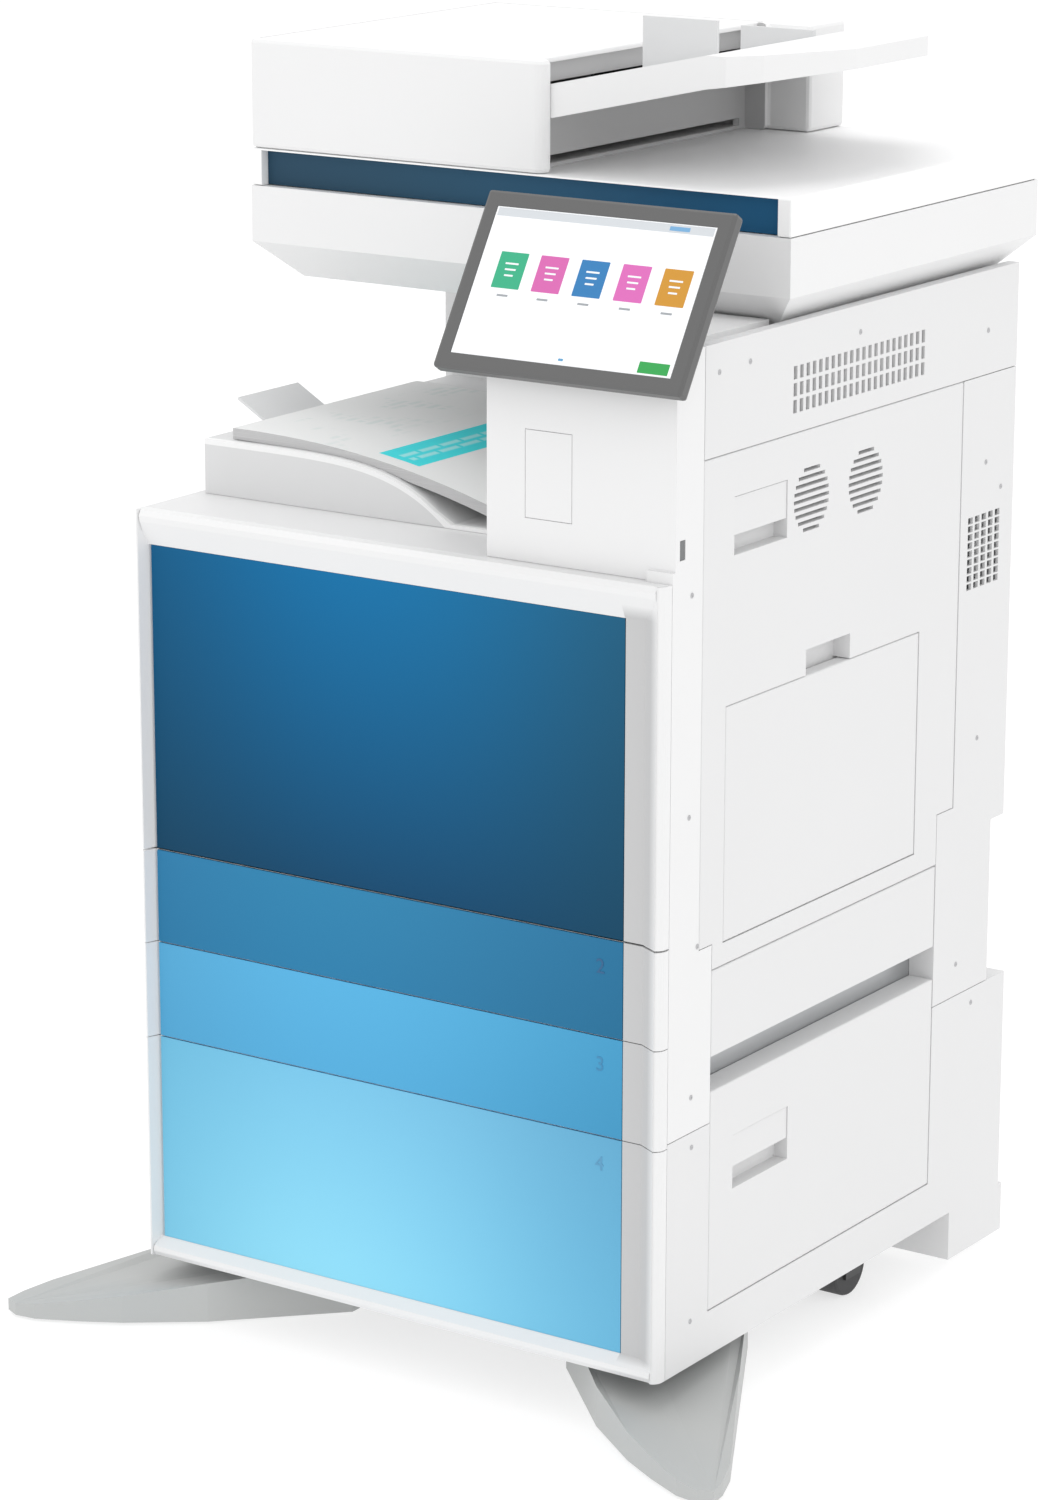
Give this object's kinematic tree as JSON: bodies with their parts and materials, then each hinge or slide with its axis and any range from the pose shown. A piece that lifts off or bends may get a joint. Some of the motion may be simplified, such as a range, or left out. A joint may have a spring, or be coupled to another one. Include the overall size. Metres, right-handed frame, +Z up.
{
  "type": "photocopier",
  "caption": "Floor-standing office photocopier with document feeder, scanner, tilting touch panel, paper trays, side doors and casters.",
  "frame": {"origin": "on the floor, under the middle of the machine's bounding box", "axes": "+X to the operator's right, -Y towards the operator, +Z up"},
  "size_m": [0.81, 0.738, 1.2503],
  "materials": {
    "white_plastic": "fine moulded texture",
    "light_grey_plastic": "moulded",
    "dark_plastic": "moulded",
    "steel": "zinc plated",
    "rubber": "matt",
    "bezel_plastic": "satin",
    "display": "lit display",
    "glass": "clear",
    "paper": "uncoated paper",
    "door_blue": "satin with a soft gradient",
    "tray_2_blue": "satin",
    "tray_3_blue": "satin",
    "tray_4_blue": "satin",
    "band_blue": "satin",
    "toner_yellow": "moulded",
    "toner_magenta": "moulded",
    "toner_cyan": "moulded",
    "toner_black": "moulded"
  },
  "bodies": {
    "machine": {"chassis": "steel", "left_cover": "white_plastic", "rear_cover": "white_plastic", "deck": "white_plastic", "column_cover": "white_plastic", "column_plate": "white_plastic", "right_upper_cover": "white_plastic", "right_rear_cover": "white_plastic", "cabinet_right_cover": "white_plastic", "tower_cover": "white_plastic", "output_tray": "white_plastic", "printed_sheets": "paper", "scanner_base": "white_plastic", "platen_glass": "glass", "screen_bracket": "light_grey_plastic", "laser_unit": "dark_plastic", "imaging_unit": "dark_plastic", "fuser_unit": "light_grey_plastic", "toner_cartridge_yellow": "toner_yellow", "toner_cartridge_magenta": "toner_magenta", "toner_cartridge_cyan": "toner_cyan", "toner_cartridge_black": "toner_black", "stabiliser_left": "light_grey_plastic", "stabiliser_right": "light_grey_plastic"},
    "front_door": {"front_door": "white_plastic", "front_door_panel": "door_blue"},
    "tray_2": {"tray_2_front": "white_plastic", "tray_2_panel": "tray_2_blue", "tray_2_bin": "light_grey_plastic"},
    "tray_3": {"tray_3_front": "white_plastic", "tray_3_panel": "tray_3_blue", "tray_3_bin": "light_grey_plastic"},
    "tray_4": {"tray_4_front": "white_plastic", "tray_4_panel": "tray_4_blue", "tray_4_bin": "light_grey_plastic"},
    "right_door": {"right_door": "white_plastic"},
    "right_door_latch": {"right_door_latch": "white_plastic"},
    "multipurpose_tray": {"multipurpose_tray": "white_plastic"},
    "lower_right_door": {"lower_right_door": "white_plastic"},
    "cabinet_door": {"cabinet_door": "white_plastic"},
    "cabinet_door_latch": {"cabinet_door_latch": "white_plastic"},
    "power_button": {"power_button": "dark_plastic"},
    "paper_stop": {"paper_stop": "light_grey_plastic"},
    "scan_carriage": {"scan_carriage": "dark_plastic"},
    "lid": {"lid": "white_plastic", "lid_handle_band": "band_blue", "feeder_body": "white_plastic"},
    "feeder_cover": {"feeder_cover": "white_plastic"},
    "pickup_roller": {"pickup_roller": "rubber"},
    "document_tray": {"document_tray": "white_plastic"},
    "paper_guide_front": {"paper_guide_front": "light_grey_plastic"},
    "paper_guide_rear": {"paper_guide_rear": "light_grey_plastic"},
    "touch_panel": {"touch_panel": "bezel_plastic", "touch_screen": "display"},
    "front_caster_left_fork": {"front_caster_left_fork": "steel"},
    "front_caster_left_wheel": {"front_caster_left_wheel": "rubber"},
    "front_caster_right_fork": {"front_caster_right_fork": "steel"},
    "front_caster_right_wheel": {"front_caster_right_wheel": "rubber"},
    "rear_caster_left_wheel": {"rear_caster_left_wheel": "rubber"},
    "rear_caster_right_wheel": {"rear_caster_right_wheel": "rubber"}
  },
  "joints": [
    {"name": "front_door_hinge", "type": "hinge", "parent": "machine", "child": "front_door", "pos_m": [0, -0.279, 0.4732], "axis": [1, 0, 0], "range_deg": [0, 90]},
    {"name": "tray_2_slide", "type": "slide", "parent": "machine", "child": "tray_2", "axis": [0, -1, 0], "range_m": [0, 0.4]},
    {"name": "tray_3_slide", "type": "slide", "parent": "machine", "child": "tray_3", "axis": [0, -1, 0], "range_m": [0, 0.4]},
    {"name": "tray_4_slide", "type": "slide", "parent": "machine", "child": "tray_4", "axis": [0, -1, 0], "range_m": [0, 0.4]},
    {"name": "right_door_hinge", "type": "hinge", "parent": "machine", "child": "right_door", "pos_m": [0.2905, 0.2425, 0.5], "axis": [0, 0, 1], "range_deg": [0, 80]},
    {"name": "right_door_latch_hinge", "type": "hinge", "parent": "right_door", "child": "right_door_latch", "pos_m": [0.2895, -0.121, 0.857], "axis": [0, -1, 0], "range_deg": [0, 25], "stiffness_Nm_per_rad": 0.05},
    {"name": "multipurpose_tray_hinge", "type": "hinge", "parent": "right_door", "child": "multipurpose_tray", "pos_m": [0.2905, -0.0035, 0.4549], "axis": [0, 1, 0], "range_deg": [0, 70]},
    {"name": "lower_right_door_hinge", "type": "hinge", "parent": "machine", "child": "lower_right_door", "pos_m": [0.2905, 0.2105, 0.5], "axis": [0, 0, 1], "range_deg": [0, 80]},
    {"name": "cabinet_door_hinge", "type": "hinge", "parent": "machine", "child": "cabinet_door", "pos_m": [0.2905, 0.2105, 0.5], "axis": [0, 0, 1], "range_deg": [0, 80]},
    {"name": "cabinet_door_latch_hinge", "type": "hinge", "parent": "cabinet_door", "child": "cabinet_door_latch", "pos_m": [0.2895, -0.1065, 0.26], "axis": [0, -1, 0], "range_deg": [0, 25], "stiffness_Nm_per_rad": 0.05},
    {"name": "power_button_press", "type": "slide", "parent": "machine", "child": "power_button", "axis": [-1, 0, 0], "range_m": [0, 0.0015], "stiffness_N_per_m": 300},
    {"name": "paper_stop_hinge", "type": "hinge", "parent": "machine", "child": "paper_stop", "pos_m": [-0.2665, -0.0605, 0.8547], "axis": [0, 1, 0], "range_deg": [-25, 40]},
    {"name": "scan_carriage_slide", "type": "slide", "parent": "machine", "child": "scan_carriage", "axis": [1, 0, 0], "range_m": [0, 0.43]},
    {"name": "lid_hinge", "type": "hinge", "parent": "machine", "child": "lid", "pos_m": [0, 0.369, 1.0786], "axis": [-1, 0, 0], "range_deg": [0, 60]},
    {"name": "feeder_cover_hinge", "type": "hinge", "parent": "lid", "child": "feeder_cover", "pos_m": [-0.2886, 0.1135, 1.2153], "axis": [0, -1, 0], "range_deg": [0, 70]},
    {"name": "pickup_roller_spin", "type": "hinge", "parent": "lid", "child": "pickup_roller", "pos_m": [-0.02, 0.128, 1.1891], "axis": [0, 1, 0], "continuous": true},
    {"name": "document_tray_hinge", "type": "hinge", "parent": "lid", "child": "document_tray", "pos_m": [0.041, 0.1115, 1.1892], "axis": [0, -1, 0], "range_deg": [0, 35]},
    {"name": "paper_guide_front_slide", "type": "slide", "parent": "document_tray", "child": "paper_guide_front", "axis": [0, 1, 0], "range_m": [-0.08, 0.065]},
    {"name": "paper_guide_rear_slide", "type": "slide", "parent": "document_tray", "child": "paper_guide_rear", "axis": [0, 1, 0], "range_m": [-0.065, 0.08]},
    {"name": "touch_panel_tilt", "type": "hinge", "parent": "machine", "child": "touch_panel", "pos_m": [0.19, -0.22205, 1.04245], "axis": [-1, 0, 0], "range_deg": [0, 45]},
    {"name": "front_caster_left_swivel", "type": "hinge", "parent": "machine", "child": "front_caster_left_fork", "pos_m": [-0.215, -0.132, 0.0747], "axis": [0, 0, 1], "continuous": true},
    {"name": "front_caster_left_roll", "type": "hinge", "parent": "front_caster_left_fork", "child": "front_caster_left_wheel", "pos_m": [-0.215, -0.12, 0.03], "axis": [1, 0, 0], "continuous": true},
    {"name": "front_caster_right_swivel", "type": "hinge", "parent": "machine", "child": "front_caster_right_fork", "pos_m": [0.215, -0.132, 0.0747], "axis": [0, 0, 1], "continuous": true},
    {"name": "front_caster_right_roll", "type": "hinge", "parent": "front_caster_right_fork", "child": "front_caster_right_wheel", "pos_m": [0.215, -0.12, 0.03], "axis": [1, 0, 0], "continuous": true},
    {"name": "rear_caster_left_roll", "type": "hinge", "parent": "machine", "child": "rear_caster_left_wheel", "pos_m": [-0.227, 0.143, 0.03], "axis": [1, 0, 0], "continuous": true},
    {"name": "rear_caster_right_roll", "type": "hinge", "parent": "machine", "child": "rear_caster_right_wheel", "pos_m": [0.227, 0.143, 0.03], "axis": [1, 0, 0], "continuous": true}
  ],
  "couplings": [
    {"joint": "paper_guide_rear_slide", "follows": "paper_guide_front_slide", "ratio": -1}
  ]
}
